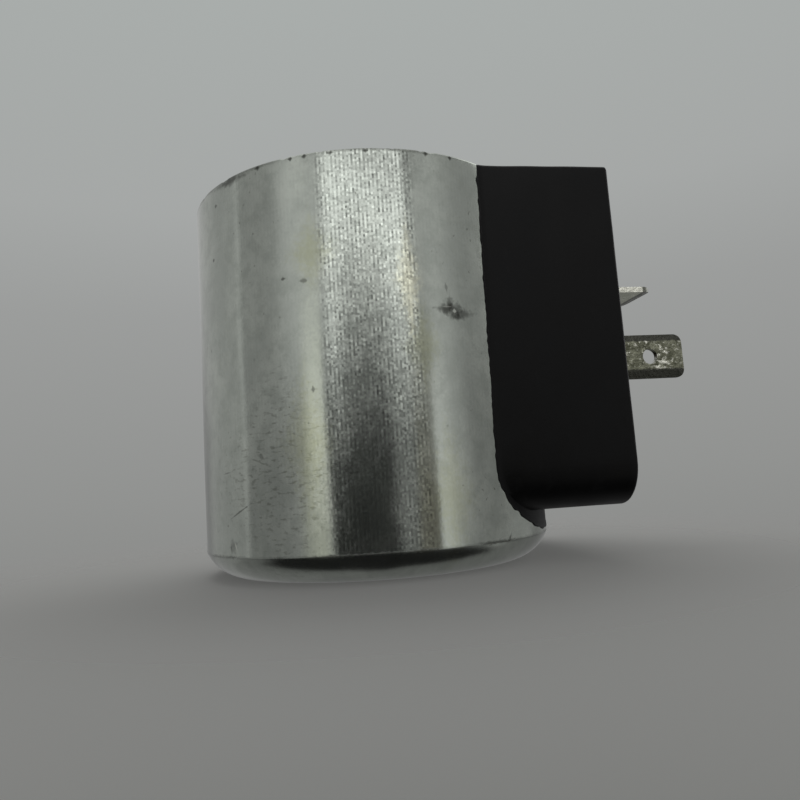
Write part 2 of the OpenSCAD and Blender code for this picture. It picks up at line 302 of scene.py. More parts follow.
def panelMask(tree, value, span, soft):
    # one between the span's ends, falling smoothly to nought over the soft widths
    ends = []
    for k, sign in ((0, -1), (1, 1)):
        edge, half = math.radians(span[k]), math.radians(soft[k]) / 2
        ends.append(fade(tree, value, edge + sign * half, edge - sign * half))
    return times(tree, *ends)


def lightRoom(plan, panels):
    # glossy and diffuse light comes from the panels, and the camera sees the backdrop's ramp instead
    world = bpy.data.worlds.new("room")
    bpy.context.scene.world = world
    world.use_nodes = True
    tree = world.node_tree
    way = split(tree, spun(tree, add(tree, "TexCoord"), -plan["facing"]))
    bearing = calc(tree, "ARCTAN2", way[1], way[0])
    height = add(tree, "Math", props=dict(operation="ARCSINE"), i0=way[2])
    level = (plan["wallLevel"],) * 3 + (1,)
    for bearings, ends, heights, falls, power, *tint in panels:
        mask = times(tree, panelMask(tree, bearing, bearings, ends), panelMask(tree, height, heights, falls))
        own = tuple(power * share for share in (tint[0] if tint else (1, 1, 1)))
        level = blendColour(tree, mask, level, own + (1,))
    seen = tree.nodes.new("ShaderNodeValToRGB")
    share = add(tree, "MapRange", Value=height, i1=-math.pi / 2, i2=math.pi / 2)
    tree.links.new(share, seen.inputs[0])
    stops = seen.color_ramp.elements
    for angle, colour in plan["backdrop"]:
        stops.new(angle / 180 + 0.5).color = colour + (1,)
    stops.remove(stops[0])
    stops.remove(stops[len(stops) - 1])
    direct = add(tree, "LightPath")
    tree.links.new(blendColour(tree, direct, level, seen.outputs[0]), tree.nodes["Background"].inputs[0])


def layTable(plan):
    # a disc: rings of points at growing radii; it fades into the backdrop and glows a little by itself
    count, around = plan["tableRings"], plan["tableAround"]
    rings = plan["tableRadius"] * np.linspace(0.02, 1, count)[:, None] ** plan["tableGrowth"]
    turn = np.linspace(0, 2 * np.pi, around, endpoint=False)[None, :]
    points = np.vstack([roundAxis(rings, turn, np.zeros_like(rings + turn)).reshape(-1, 3), [[0, 0, 0]]])
    faces = [gridQuads(count, around, closeCols=True), fanTris(np.arange(around)[::-1], count * around)]
    table = makePiece("table", points, faces)
    made, tree, place, shader = finish("tableTop", Roughness=0.9, Base_Color=plan["tableColour"],
                                       Specular_IOR_Level=0.1)
    clear = fade(tree, vec(tree, "LENGTH", place, out=1), plan["tableSolid"], plan["tableClear"])
    glow = add(tree, "Emission", Color=plan["tableGlow"])
    lit = times(tree, add(tree, "LightPath"), plan["glowShare"])
    solid = add(tree, "MixShader", i0=lit, i1=shader.outputs[0], i2=glow)
    mixed = add(tree, "MixShader", i0=clear, i1=solid, i2=add(tree, "BsdfTransparent"))
    tree.links.new(mixed, tree.nodes["Material Output"].inputs[0])
    table.data.materials.append(made)
    table.visible_glossy = False


def hangLamp(plan):
    data = bpy.data.lights.new("softLamp", "AREA")
    data.size = plan["lampSize"] * mm
    data.energy = plan["lampPower"]
    lamp = bpy.data.objects.new("softLamp", data)
    bpy.context.scene.collection.objects.link(lamp)
    lamp.location = [v * mm for v in plan["lampPlace"]]
    lamp.rotation_euler = (-lamp.location).to_track_quat("-Z", "Y").to_euler()
    lamp.visible_camera = False
    lamp.visible_glossy = False


lightRoom(stage, panels)
layTable(stage)
hangLamp(stage)
print("stage set:", len(panels), "panels")

# Shell: drawn steel cup with a window, made as one closed skin
shell = dict(
    radius=shellTop[1], height=shellTop[2], inner=plateTop[1] + fitGap, floor=3.0, edgeHeight=3.4,
    edgeInset=5.0, rimRound=0.3, boreEdge=0.3, windowHalf=block["half"] + fitGap, windowLow=4.05,
    windowCorner=8.05, around=440, upSteps=76, insideSteps=4, lowSteps=20, edgeSteps=16, cornerSteps=24,
    sillSteps=44, sway=0.012, swayMean=2.2, swayWaves=14, swayLengths=(5, 16), swayUpright=0.45,
    nickDepth=0.16, nickCount=26, nickWide=(0.006, 0.02), nickShare=(0.2, 1), seed=11)


def shellDent(plan, angle, height):
    # slow ripples of the drawn wall, longer upwards than round it, always inwards
    ripple = waves(plan["seed"], plan["swayWaves"], plan["swayLengths"], plan["radius"] * np.cos(angle),
                   plan["radius"] * np.sin(angle), height * plan["swayUpright"])
    return -plan["sway"] * (plan["swayMean"] + ripple).clip(0, 2 * plan["swayMean"])


def shellNicks(plan, angle):
    # how far small nicks lower the rim, round the shell: a sum of narrow bells
    draw = np.random.default_rng(plan["seed"] + 1)
    drop = np.zeros_like(angle)
    for _ in range(plan["nickCount"]):
        spot = draw.uniform(-np.pi, np.pi)
        wide = draw.uniform(*plan["nickWide"])
        deep = draw.uniform(*plan["nickShare"])
        apart = (angle - spot + np.pi) % (2 * np.pi) - np.pi
        drop += deep * plan["nickDepth"] * np.exp(-(apart / wide) ** 2)
    return drop.clip(0, plan["nickDepth"])


def shellLowRows(plan):
    # profile from the outer wall down round the edge, over the valve face, up the bore and out to the inner
    # wall: radius, level, share of the column's top height, share of the way from outer to inner angles
    outer, inner, edge, inset = plan["radius"], plan["inner"], plan["edgeHeight"], plan["edgeInset"]
    floor, ease = plan["floor"], plan["boreEdge"]
    edgeRadius = (inset ** 2 + edge ** 2) / (2 * edge)
    up = np.concatenate([np.linspace(1, 0.05, plan["lowSteps"]), [0.02, 0.006, 0.0]])
    turn = np.concatenate([[0.012], np.linspace(0.04, 1, plan["edgeSteps"])])
    start = -math.acos(inset / edgeRadius)
    turn = start + turn * (-np.pi / 2 - start)
    mouth = boreRadius + ease
    climb = np.linspace(0.15, 1, 6)
    radius = np.concatenate([
        np.full(len(up), outer), outer - inset + edgeRadius * np.cos(turn),
        np.linspace(outer - inset, mouth, 5)[1:], [boreRadius, boreRadius, mouth],
        np.linspace(mouth, inner, 5)[1:], np.full(len(climb), inner)])
    level = np.concatenate([
        edge * (1 - up), edgeRadius * (1 + np.sin(turn)), np.zeros(4), [ease, floor - ease, floor],
        np.full(4, floor), floor * (1 - climb)])
    rise = np.concatenate([up, np.zeros(len(radius) - len(up) - len(climb)), climb])
    inward = np.concatenate([np.zeros(len(radius) - 12), [0.3, 0.7], np.ones(10)])
    return radius, level, rise, inward, len(up), len(turn)


def shellSkin(plan):
    outer, inner, half, rim = plan["radius"], plan["inner"], plan["windowHalf"], plan["rimRound"]
    cornerTop = plan["windowLow"] + plan["windowCorner"]
    share = np.linspace(0, 1, plan["around"])[None, :]

    # upper wall: from the window's corners up over the rim and down inside, a C in plan whose ends lie in the
    # window's leaning sides
    climb = np.linspace(0, 1, plan["upSteps"])[:-1]
    inside = np.linspace(1, 0, plan["insideSteps"])[1:]
    bend = np.linspace(0, np.pi / 2, 5)
    rimRadius = np.concatenate([outer - rim * (1 - np.cos(bend)), np.linspace(outer - 0.6, inner + 0.5, 3),
                                inner + rim * (1 - np.sin(bend))])
    rimLift = rim * np.concatenate([np.sin(bend), np.ones(3), np.cos(bend)])
    radius = np.concatenate([np.full(len(climb), outer), rimRadius, np.full(len(inside), inner)])[:, None]
    climbs = np.concatenate([climb, np.ones(len(rimRadius)), inside])[:, None]
    lift = np.concatenate([0 * climb, rimLift, 0 * inside])[:, None]
    level = cornerTop + climbs * (plan["height"] - rim - cornerTop) + lift
    edge = np.arcsin(half * drafted(level) / radius)
    angle = -edge - share * (2 * np.pi - 2 * edge)
    height = level - climbs * shellNicks(plan, angle)
    dent = shellDent(plan, angle, height) * (radius > outer - 0.5)
    points = [roundAxis(radius + dent, angle, height).reshape(-1, 3)]
    skins = [np.stack([height + outer - radius, angle * outer], -1).reshape(-1, 2)]
    rows, cols = angle.shape
    faces = [gridQuads(rows, cols)] + [(np.arange(rows) * cols + col)[None, :] for col in (0, cols - 1)]

    # lower wall, valve face and bore, in two stretches of columns: below the upper wall and below the window
    radius, level, rise, inward, wallRows, edgeRows = shellLowRows(plan)
    bow = np.linspace(0, np.pi / 2, plan["cornerSteps"])
    flat = half - plan["windowCorner"]
    sill = np.linspace(-flat, flat, plan["sillSteps"])[1:-1]
    across = np.concatenate([-flat - plan["windowCorner"] * np.sin(bow[::-1]), sill,
                             flat + plan["windowCorner"] * np.sin(bow)])
    corner = plan["windowLow"] + plan["windowCorner"] * (1 - np.cos(bow))
    sillHeight = np.concatenate([corner[::-1], np.full(len(sill), plan["windowLow"]), corner])
    across = across * drafted(sillHeight)
    ends = [math.asin(across[-1] / r) for r in (outer, inner)]
    behind = [-end - share[0] * 2 * (np.pi - end) for end in ends]
    below = [np.arcsin(across / r) for r in (outer, inner)]
    along = np.concatenate([[0], np.cumsum(np.hypot(np.diff(radius), np.diff(level)))])
    along = plan["edgeHeight"] - along + along[wallRows - 1]
    onOutside = (np.arange(len(radius)) < wallRows + edgeRows)[:, None]
    isWall = (np.arange(len(radius)) < wallRows)[:, None]
    stretches = ((behind, np.full(share.size, cornerTop), False), (below, sillHeight, True))
    for angles, tops, closed in stretches:
        angle = (1 - inward[:, None]) * angles[0] + inward[:, None] * angles[1]
        height = level[:, None] + rise[:, None] * tops
        reach = radius[:, None] + shellDent(plan, angle, height) * onOutside
        first = sum(len(p) for p in points)
        points.append(roundAxis(reach, angle, height).reshape(-1, 3))
        skins.append(np.stack([np.where(isWall, height, along[:, None]), angle * outer], -1).reshape(-1, 2))
        faces.append(gridQuads(*angle.shape, closeRows=closed, first=first))
    return np.vstack(points), faces, np.vstack(skins)


# Zinc finish: upright dashes a set pitch apart, each tilted and toned its own way; the tones are painted
# light and shade on the dashes, most of all on the front; front and back are bearings about the bore
zinc = dict(
    dashPitch=0.236, dashLength=0.28, tiltUp=0.03, tiltRound=0.008, wander=0.05, dashFoot=(3.2, 3.5),
    ribTilt=0.006, ribTone=(0.26, 0.5), ribRise=(33.0, 42.0),
    toneFront=0.66, toneElse=0.04, toneBack=0.3, tonePatch=(0.55, 1.35),
    front=(-109.5, -82.0), frontSoft=1.0, back=(-192.0, -176.0),
    rimDirt=(49.4, 49.8, 50.2, 50.5), seamDirt=(3.1, 3.36, 3.44, 3.7), ragged=1.8, relief=0.004,
    low=(0.385, 0.412, 0.375, 1), high=(0.462, 0.492, 0.445, 1), mottle=(0.345, 0.372, 0.335, 1),
    pit=(0.10, 0.102, 0.08, 1), dark=(0.035, 0.036, 0.031, 1), olive=(0.36, 0.375, 0.25, 1),
    pale=(0.5, 0.52, 0.47, 1), dull=(0.26, 0.276, 0.252, 1), glint=(0.64, 0.64, 0.5, 1))

# Marks on the shell: bearing about the bore, height, half sizes up and round the wall, turn, tone, share and
# softness
marks = [
    (-112.0, 38.0, 4.0, 2.6, 0, "olive", 0.6, 1),  # olive patches
    (-81.5, 26.4, 5.0, 2.0, 0, "olive", 0.6, 1),
    (-116.0, 16.0, 8.0, 3.0, 0, "olive", 0.5, 1),
    (-76.0, 9.0, 8.0, 3.0, 0, "olive", 0.5, 1),
    (-84.6, 34.0, 6.5, 1.5, 0, "glint", 0.75, 0.9),  # painted highlight, warm
    (-97.0, 49.0, 2.8, 7.5, 0, "dull", 0.5, 1),  # painted shade over the top and over a corner
    (-88.5, 47.8, 6.0, 4.0, 0, "dull", 0.8, 1),
    (-71.4, 30.65, 1.15, 1.9, 4, "dark", 0.66, 0.65),  # scuff: middle, left, right, peak, foot
    (-74.2, 30.8, 0.75, 1.5, 0, "dark", 0.62, 0.65),
    (-68.2, 30.2, 0.65, 2.0, 6, "dark", 0.58, 0.75),
    (-72.4, 31.5, 1.0, 0.6, 0, "dark", 0.62, 0.65),
    (-70.0, 29.9, 0.6, 0.7, 0, "dark", 0.62, 0.65),
    (-71.0, 30.5, 0.3, 0.3, 0, "pale", 0.9, 0.5),  # scuff: heart and shine, pale marks that paint its highlight, and tail
    (-73.6, 31.0, 0.12, 0.7, 0, "pale", 0.4, 0.5),
    (-73.2, 33.3, 0.8, 0.2, 8, "dark", 0.4, 0.5),
    (-141.0, 8.7, 0.13, 2.6, 23, "dark", 0.6, 0.5),  # scratches
    (-146.5, 13.4, 0.1, 1.3, 5, "dark", 0.45, 0.5),
    (-144.5, 4.8, 0.9, 1.0, 20, "dark", 0.4, 0.8),  # blemish: body, scrape, foot
    (-143.3, 4.7, 0.7, 0.16, 25, "pale", 0.9, 0.4),
    (-145.6, 4.3, 0.6, 0.14, 0, "dark", 0.6, 0.4),
    (-56.0, 3.7, 0.85, 0.22, -30, "dark", 0.6, 0.4),  # crease
    (-148.1, 47.3, 0.3, 0.3, 0, "dark", 0.7, 0.5),  # pin marks
    (-150.6, 40.5, 0.3, 0.28, 0, "dark", 0.8, 0.5),
    (-120.8, 35.3, 0.32, 0.32, 0, "dark", 0.7, 0.5),
    (-114.4, 34.7, 0.35, 0.6, 0, "dark", 0.55, 0.6),  # ticks
    (-113.2, 22.0, 0.4, 0.3, 0, "dark", 0.6, 0.5),
    (-131.2, 15.0, 0.35, 0.7, -30, "dark", 0.4, 0.6),  # smear
    (-140.0, 49.4, 0.7, 3.4, 0, "dark", 0.75, 0.8),  # darker band under the rim
]
rimNicks = ((-128, 0.48), (-116.7, 0.28), (-112.4, 0.32), (-104.7, 0.4), (-94.8, 0.32), (-76.9, 0.4),
            (-68.5, 0.28))
marks += [(spot, 49.6, 0.4, wide, 0, "dark", 0.85, 0.6) for spot, wide in rimNicks]
smudged = (-124.0, 12.5, 13.0, 11.0, 0, "pit", 0.45, 0.7)
smooth = (-98.0, 11.0, 13.0, 4.6, 0, None, 0.7, 0.8)


def arcAt(angle):
    # place round the wall of a bearing about the bore
    return math.radians(angle) * shell["radius"]


def markMask(tree, place, mark, rag):
    # one inside a lozenge about a spot on the wall and nought outside, its edge broken up by a grain
    angle, height, tall, wide, turn, _, share, soft = mark
    away = vec(tree, "SUBTRACT", place, i1=(height, arcAt(angle), 0))
    away = vec(tree, "DIVIDE", spun(tree, away, turn), i1=(tall, wide, 1))
    away = vec(tree, "ABSOLUTE", away)
    reach = vec(tree, "DOT_PRODUCT", away, out=1, i1=(1, 1, 0))
    return fade(tree, plus(tree, reach, rag), 1 + soft / 2, 1 - soft, 0, share)


def drawDashes(tree, plan, height, arc, wobble):
    # the wall cut into upright columns and those into dashes: three random numbers for each dash, about
    # nought, and whether its column is odd
    arc = plus(tree, arc, times(tree, wobble, plan["wander"]))
    column = calc(tree, "FLOOR", calc(tree, "DIVIDE", arc, plan["dashPitch"]))
    start = add(tree, "TexWhiteNoise", props=dict(noise_dimensions="1D"), W=column)
    row = calc(tree, "FLOOR", plus(tree, calc(tree, "DIVIDE", height, plan["dashLength"]), start))
    drawn = add(tree, "TexWhiteNoise", out=1, props=dict(noise_dimensions="2D"),
                Vector=add(tree, "CombineXYZ", X=column, Y=row))
    odd = less(tree, calc(tree, "FLOORED_MODULO", column, 2.0), 0.5)
    return vec(tree, "SUBTRACT", drawn, i1=(0.5, 0.5, 0.5)), odd


def dashNormal(tree, plan, height, dashes, odd, tangent):
    # the wall's own normal, tipped up or down and a little sideways by an amount drawn for each dash
    calm = fade(tree, height, *plan["dashFoot"], 0.3, 1.0)
    drawn = split(tree, dashes)
    up = plus(tree, times(tree, drawn[0], plan["tiltUp"]), times(tree, odd, plan["ribTilt"]))
    sideways = times(tree, drawn[1], plan["tiltRound"])
    normal = add(tree, "NewGeometry", out=1)
    around = vec(tree, "CROSS_PRODUCT", normal, i1=tangent)
    for way, reach in ((tangent, up), (around, sideways)):
        normal = vec(tree, "ADD", normal, i1=vec(tree, "SCALE", way, Scale=times(tree, reach, calm)))
    return vec(tree, "NORMALIZE", normal)


def paintedDashLight(tree, plan, place, rag, dashes, odd):
    # painted light and shade of each dash, as a brightness about one: it shows on the front of the wall, in
    # patches, and the ribs most near the rim
    height, arc = split(tree, place)[:2]
    left, right = (arcAt(angle) for angle in plan["front"])
    soft = plan["frontSoft"] / 2
    front = times(tree, fade(tree, arc, left - soft, left + soft),
                  fade(tree, arc, right + soft, right - soft))
    front = times(tree, front, fade(tree, height, *plan["dashFoot"]))
    strength = add(tree, "MapRange", Value=front, i3=plan["toneElse"], i4=plan["toneFront"])
    back = fade(tree, arc, *(arcAt(angle) for angle in plan["back"]), plan["toneBack"], 0.0)
    strength = calc(tree, "MAXIMUM", strength, back)
    patchy = grain(tree, stretched(tree, place, (0.5, 1.1, 1), (1.3, 7.7, 0)), 1.0, 3.0, 0.6)
    strength = times(tree, strength, fade(tree, patchy, 0.35, 0.65, *plan["tonePatch"]))
    strength = times(tree, strength, less(tree, 1.0, markMask(tree, place, smooth, rag)))
    rib = times(tree, odd, fade(tree, height, *plan["ribRise"], *plan["ribTone"]))
    return plus(tree, times(tree, plus(tree, split(tree, dashes)[2], rib), strength), 1.0)


def zincPlate(plan):
    # matt zinc over drawn steel: draw streaks broken into short dashes, cloudy grey, stains, pits and scuffs,
    # with painted light on the dashes, a painted highlight and painted shade
    made, tree, place, shader = finish("zincPlate", "skin", Metallic=1.0, Anisotropic=0.8, Roughness=0.15)
    tangent = add(tree, "Tangent", props=dict(direction_type="UV_MAP", uv_map="skin"))
    height, arc = split(tree, place)[:2]
    cloud = grain(tree, stretched(tree, place, (0.10, 0.16, 1)), 1.0, 5.0, 0.6)
    blotch = grain(tree, place, 0.42, 4.0, 0.65)
    speck = grain(tree, place, 1.5, 3.0, 0.6)
    patch = grain(tree, stretched(tree, place, (0.14, 0.14, 1), (4.2, 9.1, 0)), 1.0, 2.0)
    level = grain(tree, stretched(tree, place, (2.3, 0.9, 1)), 1.0, 3.0, 0.6)
    dashes, odd = drawDashes(tree, plan, height, arc, speck)
    broken = less(tree, grain(tree, place, 1.6, 3.0, 0.6), 0.5)
    rag = times(tree, broken, plan["ragged"])

    colour = blendColour(tree, fade(tree, cloud, 0.34, 0.68), plan["low"], plan["high"])
    colour = blendColour(tree, fade(tree, blotch, 0.42, 0.66, 0, 0.7), colour, plan["mottle"])
    pits = times(tree, fade(tree, speck, 0.64, 0.73, 0, 0.7), fade(tree, patch, 0.48, 0.62))
    smudges = times(tree, fade(tree, level, 0.52, 0.66), markMask(tree, place, smudged, rag))
    colour = blendColour(tree, calc(tree, "MAXIMUM", pits, smudges), colour, plan["pit"])
    # the marks lay stains, scuffs and scratches, and also a painted highlight and painted shade
    for mark in marks:
        colour = blendColour(tree, markMask(tree, place, mark, rag), colour, plan[mark[5]])
    # darker under the rim and along the seam above the rounded edge, thick and thin round the shell
    low = plus(tree, height, times(tree, rag, 0.3))
    rim, seam = plan["rimDirt"], plan["seamDirt"]
    rimDirt = times(tree, fade(tree, low, rim[0], rim[1]), fade(tree, height, rim[3], rim[2]))
    seamDirt = times(tree, fade(tree, low, seam[0], seam[1]), fade(tree, low, seam[3], seam[2]))
    grime = calc(tree, "MAXIMUM", times(tree, rimDirt, 0.5), times(tree, seamDirt, 0.75))
    grime = times(tree, grime, fade(tree, patch, 0.35, 0.65, 0.25, 1.0))
    colour = blendColour(tree, grime, colour, plan["dark"])
    # painted light and shade on the dashes, multiplied into the colour
    colour = vec(tree, "SCALE", colour, Scale=paintedDashLight(tree, plan, place, rag, dashes, odd))

    relief = less(tree, broken, plus(tree, pits, smudges))
    bump = bumped(tree, relief, plan["relief"], Normal=dashNormal(tree, plan, height, dashes, odd, tangent))
    rough = plus(tree, fade(tree, cloud, 0.3, 0.7, 0.15, 0.19), times(tree, grime, 0.25))
    wire(tree, shader, Base_Color=colour, Roughness=rough, Normal=bump, Tangent=tangent)
    return made


def makeShell(plan):
    points, faces, skin = shellSkin(plan)
    piece = makePiece("shell_skin", points, faces, skin, 50.0)
    piece.data.materials.append(zincPlate(zinc))
    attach(piece, "root")
    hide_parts("shell")
    print("shell made:", len(piece.data.polygons), "faces")


makeShell(shell)

# Moulding: resin that fills the window and stands out as the plug block
resin = dict(
    half=block["half"], top=block["top"], seatFront=resinTop[0], front=30.1, low=block["low"], lowCorner=5.4,
    topCorner=0.4, edgeRound=0.45, windowLow=4.1, windowCorner=8.0, seatHalf=14.0, seatCorner=3.0,
    seatRound=0.4, backRadius=shell["inner"], wallRadius=shell["radius"] - 0.02, pocketRadius=insertHigh[1],
    pocketEnd=insertLow[0], sideSteps=44, cornerSteps=12, forwardSteps=22, wobble=0.035, seed=23,
    deep=(0.0011, 0.0011, 0.0011, 1), grey=(0.002, 0.0022, 0.0024, 1), rubbed=(0.009, 0.0095, 0.0095, 1),
    sheen=0.14, tooth=0.012)


def ringOutline(plan, half, low, high, lowCorner, highCorner):
    # a rectangle of straight sides and quarter-circle corners, with as many points on each for any size
    s = np.linspace(0, 1, plan["sideSteps"], endpoint=False)
    a = np.linspace(0, np.pi / 2, plan["cornerSteps"], endpoint=False)
    lw, hw, lz, hz = half - lowCorner, half - highCorner, low + lowCorner, high - highCorner
    parts = [
        (lw * (2 * s - 1), np.full_like(s, low)),
        (lw + lowCorner * np.sin(a), lz - lowCorner * np.cos(a)),
        (np.full_like(s, half), lz + (hz - lz) * s),
        (hw + highCorner * np.cos(a), hz + highCorner * np.sin(a)),
        (hw * (1 - 2 * s), np.full_like(s, high)),
        (-hw - highCorner * np.sin(a), hz + highCorner * np.cos(a)),
        (np.full_like(s, -half), hz + (lz - hz) * s),
        (-lw - lowCorner * np.cos(a), lz - lowCorner * np.sin(a))]
    return np.concatenate([p[0] for p in parts]), np.concatenate([p[1] for p in parts])


def between(start, end, share):
    # an outline part of the way from one to another
    return start[0] + (end[0] - start[0]) * share, start[1] + (end[1] - start[1]) * share


def onWall(outline, radius):
    return np.stack([np.sqrt(radius ** 2 - outline[0] ** 2), *outline], -1)


def upright(outline, x):
    return np.stack([np.full_like(outline[0], x), *outline], -1)


def resinSkin(plan):
    # rings of matching outlines: from the middle of the back out over the window, forward round the block, in
    # to the seat, forward again and in to the screw pocket
    front, edge, seatFront, seatRound = plan["front"], plan["edgeRound"], plan["seatFront"], plan["seatRound"]
    mid = (plan["low"] + plan["top"]) / 2

    def leaning(outline):
        return outline[0] * drafted(outline[1]), outline[1]

    def body(inset):
        return leaning(ringOutline(plan, plan["half"] - inset, plan["low"] + inset, plan["top"] - inset,
                                   plan["lowCorner"] - inset * 0.5, plan["topCorner"]))

    def seat(inset):
        half, corner = plan["seatHalf"] - inset, plan["seatCorner"] - inset
        return ringOutline(plan, half, plugHeight - half, plugHeight + half, corner, corner)

    window = leaning(ringOutline(plan, plan["half"] + 0.03, plan["windowLow"], plan["top"] + 0.01,
                                 plan["windowCorner"], plan["topCorner"]))
    full = body(0)
    rings = [onWall(between((0, mid), window, share), plan["backRadius"]) for share in (0.06, 0.3, 0.55, 0.8)]
    rings += [onWall(window, radius) for radius in np.linspace(plan["backRadius"], plan["wallRadius"], 4)]
    rings += [onWall(between(window, full, share), plan["wallRadius"]) for share in (0.34, 0.67)]
    root = onWall(full, plan["wallRadius"])
    ahead = upright(full, front - edge)
    firstBlock = len(rings)
    rings += [root + (ahead - root) * share for share in np.linspace(0, 1, plan["forwardSteps"])]
    rings += [upright(body(edge * (1 - math.cos(b))), front - edge * (1 - math.sin(b)))
              for b in np.linspace(0, np.pi / 2, 6)[1:]]
    lastBlock = len(rings)
    rings += [upright(between(body(edge), seat(-seatRound), share), front) for share in (0.25, 0.5, 0.75)]
    rings += [upright(seat(-seatRound * (1 - math.sin(b))), front + seatRound * (1 - math.cos(b)))
              for b in np.linspace(0, np.pi / 2, 5)]
    rings += [upright(seat(seatRound * (1 - math.cos(b))), seatFront - seatRound * (1 - math.sin(b)))
              for b in np.linspace(0, np.pi / 2, 6)]
    face = seat(seatRound)
    turn = np.arctan2(face[1] - plugHeight, face[0])
    mouth = (plan["pocketRadius"] * np.cos(turn), plugHeight + plan["pocketRadius"] * np.sin(turn))
    rings += [upright(between(face, mouth, share), seatFront) for share in (0.2, 0.45, 0.7, 0.9, 1.0)]
    rings.append(upright(mouth, plan["pocketEnd"]))
    rings = np.array(rings)
    # the faces of the block are a little uneven, always inwards
    uneven = slice(firstBlock + 1, lastBlock)
    x, y, z = np.moveaxis(rings[uneven], -1, 0)
    sink = plan["wobble"] * (0.9 + 0.5 * waves(plan["seed"], 16, (4, 15), x, y, z)).clip(0, 2)
    toward = np.stack([np.zeros_like(x), y / plan["half"], (z - mid) / (plan["top"] - mid)], -1)
    edgeOn = np.maximum(np.abs(toward[..., 1]), np.abs(toward[..., 2]))[..., None]
    rings[uneven] -= sink[..., None] * np.where(np.abs(toward) > 0.9 * edgeOn, np.sign(toward), 0)
    return rings


def blackResin(plan):
    # matt black filled resin: fine tooth, faint cloudy grey and a few rubbed spots
    made, tree, place, shader = finish("blackResin", Roughness=0.45, Base_Color=(0.004, 0.004, 0.004, 1),
                                       Specular_IOR_Level=plan["sheen"])
    cloud = grain(tree, place, 0.12, 4.0, 0.6)
    tooth = grain(tree, place, 5.0, 3.0, 0.65)
    rubbed = grain(tree, stretched(tree, place, (0.5, 0.5, 0.15)), 1.0, 4.0, 0.6)
    colour = blendColour(tree, fade(tree, cloud, 0.35, 0.7), plan["deep"], plan["grey"])
    colour = blendColour(tree, fade(tree, rubbed, 0.6, 0.8, 0, 0.5), colour, plan["rubbed"])
    rough = fade(tree, cloud, 0.3, 0.7, 0.4, 0.5)
    wire(tree, shader, Base_Color=colour, Roughness=rough, Normal=bumped(tree, tooth, plan["tooth"]))
    return made


def makeMoulding(plan):
    piece = cappedPiece("moulding_skin", resinSkin(plan), 40.0)
    piece.data.materials.append(blackResin(plan))
    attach(piece, "root")
    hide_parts("moulding")
    print("moulding made:", len(piece.data.polygons), "faces")


makeMoulding(resin)

# Flash: the ragged lip of resin that crept over the window's edge
flash = dict(step=0.16, inside=0.5, thin=0.05, least=0.05, most=0.2, cornerMost=0.34, lift=0.06, top=49.3,
             seed=31)


def flashStrip(plan):
    # a thin closed section carried down one side of the window, along its sill and up the other side; its
    # outer edge wanders
    half, low, corner = resin["half"] + 0.02, resin["windowLow"], resin["windowCorner"]
    bow = corner * np.pi / 2
    side, sill = plan["top"] - low - corner, 2 * (half - corner)
    total = 2 * side + 2 * bow + sill
    s = np.linspace(0, total, int(total / plan["step"]))
    down = s.clip(0, side)
    turnA = (s - side).clip(0, bow) / corner
    over = (s - side - bow).clip(0, sill)
    turnB = (s - side - bow - sill).clip(0, bow) / corner
    up = (s - total + side).clip(0, side)
    y = -half + corner * (1 - np.cos(turnA)) + over + corner * np.sin(turnB)
    z = plan["top"] - down - corner * np.sin(turnA) + corner * (1 - np.cos(turnB)) + up
    y = y * drafted(z)
    outward = np.pi + turnA + turnB
    ny, nz = np.cos(outward), np.sin(outward)
    rag = 0.5 + 0.3 * waves(plan["seed"], 10, (0.8, 3.5), s) + 0.25 * waves(plan["seed"] + 1, 8, (4, 12), s)
    bent = np.sin(turnA * 2) + np.sin(turnB * 2)
    wide = plan["least"] + rag.clip(0, 1.4) * (plan["most"] + (plan["cornerMost"] - plan["most"]) * bent)
    ends = (np.minimum(s, total - s) / 1.5).clip(0.05, 1)
    wide = wide * ends
    swell = plan["lift"] * (1 + 0.35 * waves(plan["seed"] + 2, 8, (1.5, 6), s))
    back, foot = -plan["inside"] + 0 * s, -plan["thin"] + 0 * s
    across = np.stack([back, 0.4 * back, 0 * s, 0.6 * wide, wide, wide, back])
    raised = [0.012 + 0 * s, 0.6 * swell, swell, 0.8 * swell, 0.25 * swell]
    lift = np.stack([r * ends for r in raised] + [foot, foot])
    angle = np.arcsin(y / shell["radius"]) + ny * across / shell["radius"]
    return roundAxis(shell["radius"] + lift, angle, z + nz * across)


def makeFlash(plan):
    strip = flashStrip(plan)
    rows, cols = strip.shape[:2]
    faces = [gridQuads(rows, cols, closeRows=True), np.arange(rows)[None, :] * cols,
             (np.arange(rows)[None, ::-1] + 1) * cols - 1]
    piece = makePiece("moulding_flash", strip.reshape(-1, 3), faces, sharp=60.0)
    piece.data.materials.append(bpy.data.materials["blackResin"])
    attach(piece, "root")
    print("flash made:", len(piece.data.polygons), "faces")


makeFlash(flash)

# Screw insert: turned brass with a real thread
insert = dict(radius=insertHigh[1], mouth=insertHigh[0], back=insertLow[0], core=threadCore, groove=0.5,
              chamfer=0.25, pitch=0.5, threadDepth=0.2, sink=0.4, around=64, perTurn=8,
              clean=(0.60, 0.43, 0.18, 1), tarnished=(0.42, 0.31, 0.15, 1), rings=0.006)


